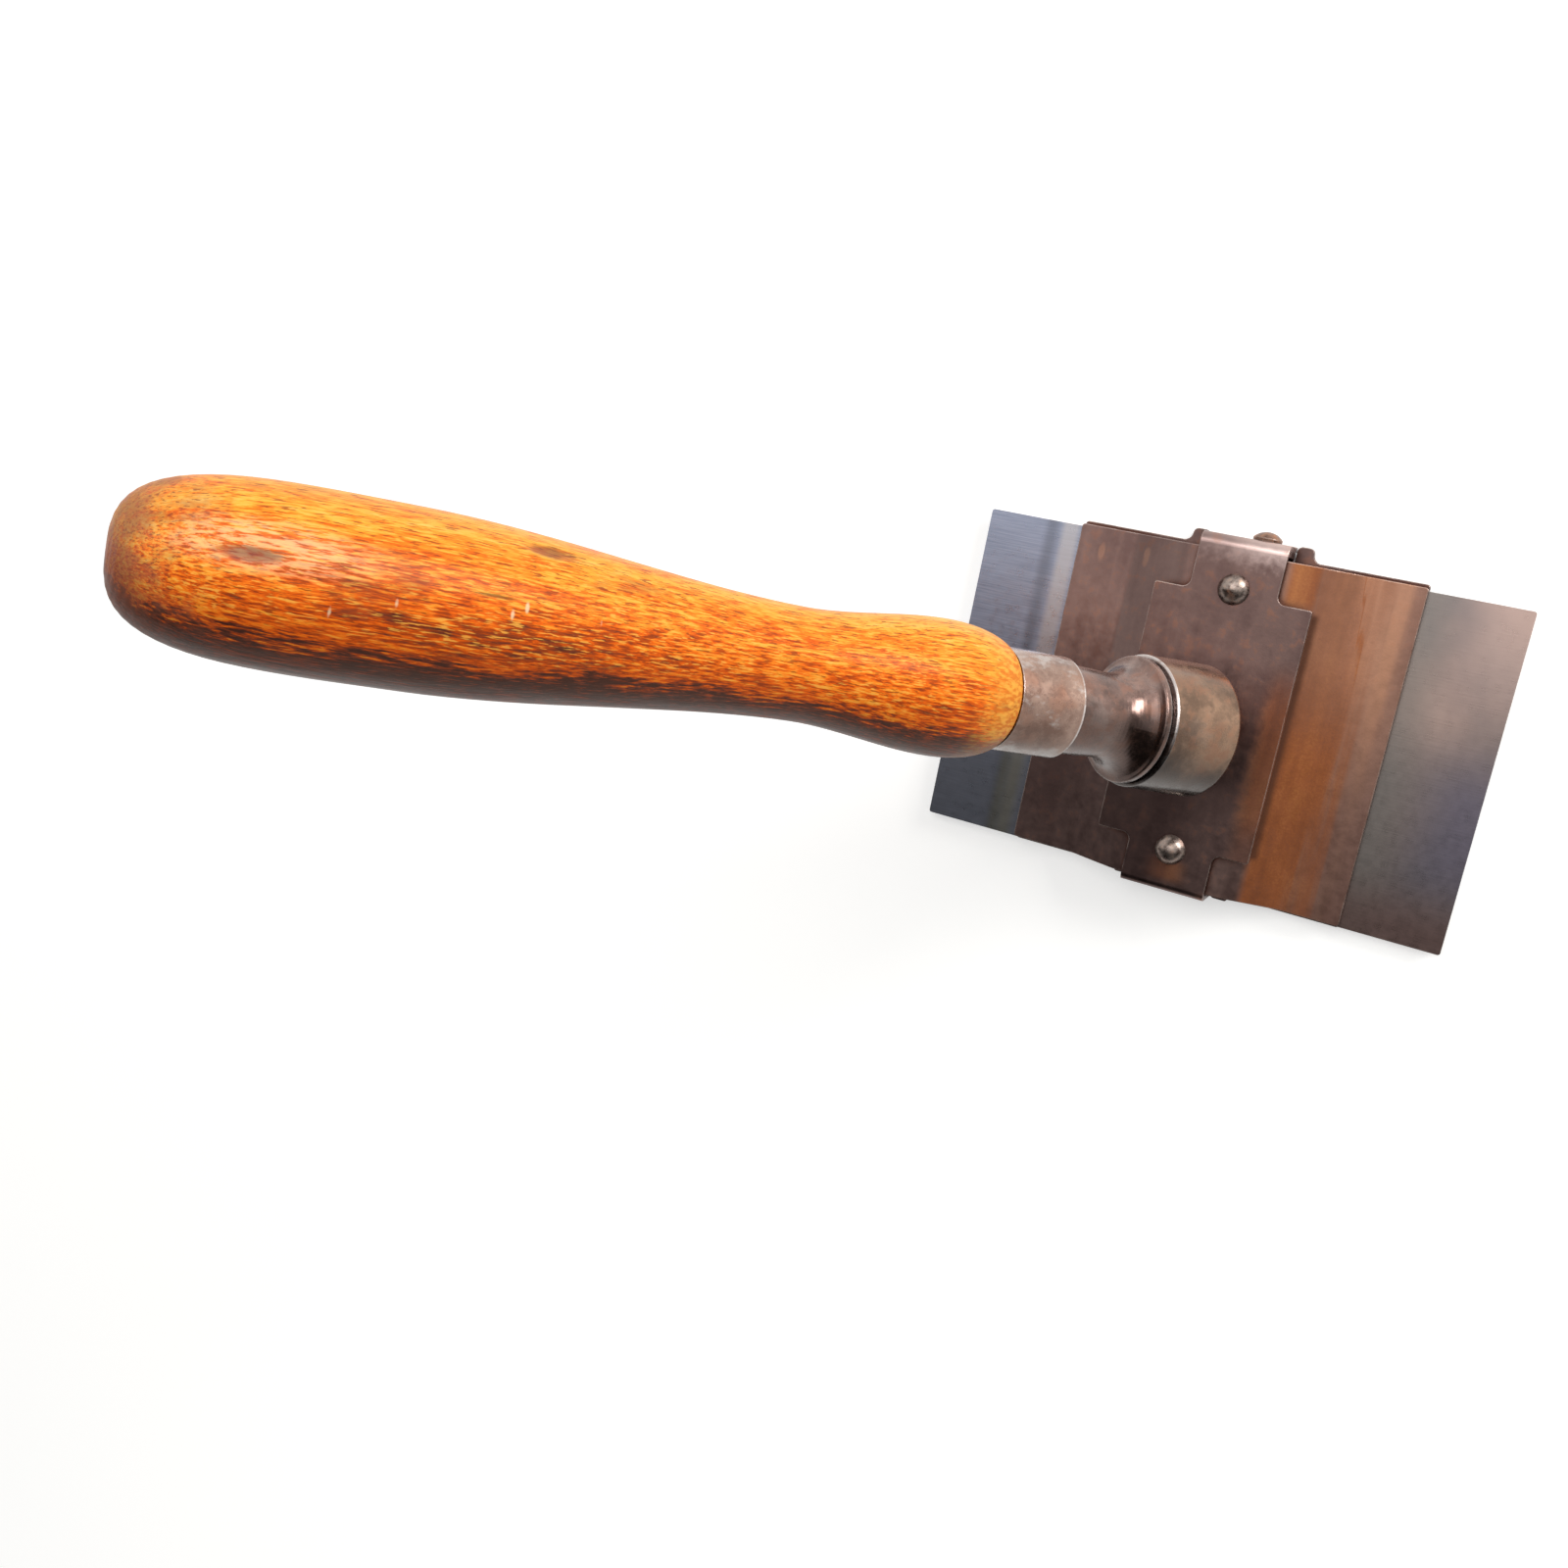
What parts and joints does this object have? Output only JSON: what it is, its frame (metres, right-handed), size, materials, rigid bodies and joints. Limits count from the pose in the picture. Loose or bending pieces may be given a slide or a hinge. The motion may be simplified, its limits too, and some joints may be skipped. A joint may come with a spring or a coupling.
{
  "type": "cabinet scraper",
  "caption": "Flat steel scraper blade gripped in a riveted clamp head, on a turned wooden handle with a lockable ball joint.",
  "frame": {"origin": "middle of the lower jaw's underside, straight below the ball joint's centre", "axes": "+Z is the blade's normal, up through the ball joint; +X runs along the blade, away from the handle; +Y is across the blade, towards the clamp screw"},
  "size_m": [0.1623, 0.0701, 0.1694],
  "materials": {
    "blade_steel": "blue-grey, lightly patinated, fine lengthwise grain",
    "lower_jaw_steel": "dark brown patina",
    "upper_jaw_steel": "brown patina with orange rust, bright worn edges",
    "bridge_steel": "dark brown-grey patina, bright worn edges",
    "rivet_steel": "dark, rubbed bright on top",
    "screw_steel": "brown patina",
    "stud_steel": "turned, satin, lightly browned",
    "cap_steel": "turned, dark brown-purple patina, bright worn edges",
    "seat_brass": "dull",
    "stem_steel": "turned, dark brown-purple patina, bright worn edges",
    "ferrule_steel": "dark patina, blotched, bright front rim",
    "handle_wood": "amber varnished hardwood, worn, satin"
  },
  "bodies": {
    "head": {"lower_jaw": "lower_jaw_steel", "upper_jaw": "upper_jaw_steel", "bridge_plate": "bridge_steel", "bridge_rivet_1": "rivet_steel", "bridge_rivet_2": "rivet_steel"},
    "blade": {"blade": "blade_steel"},
    "clamp_screw": {"clamp_screw": "screw_steel"},
    "stud": {"ball_stud": "stud_steel", "stud_burr": "rivet_steel"},
    "socket": {"socket_cap": "cap_steel"},
    "seat": {"seat_ring": "seat_brass"},
    "handle": {"socket_stem": "stem_steel", "ferrule": "ferrule_steel", "handle": "handle_wood"}
  },
  "joints": [
    {"name": "blade_slide", "type": "slide", "parent": "head", "child": "blade", "axis": [1, 0, 0], "range_m": [-0.07, 0.07]},
    {"name": "clamp_screw_turn", "type": "hinge", "parent": "head", "child": "clamp_screw", "pos_m": [0.0031, 0.0347, 0.0046], "axis": [0, 1, 0], "range_deg": [0, 450]},
    {"name": "ball_swivel", "type": "hinge", "parent": "head", "child": "stud", "pos_m": [0, 0, 0.0277], "axis": [0, 0, 1], "continuous": true},
    {"name": "ball_tilt", "type": "hinge", "parent": "stud", "child": "socket", "pos_m": [0, 0, 0.0277], "axis": [0.0576, 0.9983, 0], "range_deg": [-8.2, 83.8]},
    {"name": "seat_travel", "type": "slide", "parent": "socket", "child": "seat", "axis": [-0.6119, 0.0353, 0.7902], "range_m": [0, 0.00225]},
    {"name": "handle_turn", "type": "hinge", "parent": "seat", "child": "handle", "pos_m": [0, 0, 0.0277], "axis": [-0.6119, 0.0353, 0.7902], "range_deg": [0, 540]}
  ],
  "couplings": [
    {"joint": "handle_turn", "follows": "seat_travel", "rad_per_m": 4188.8}
  ]
}
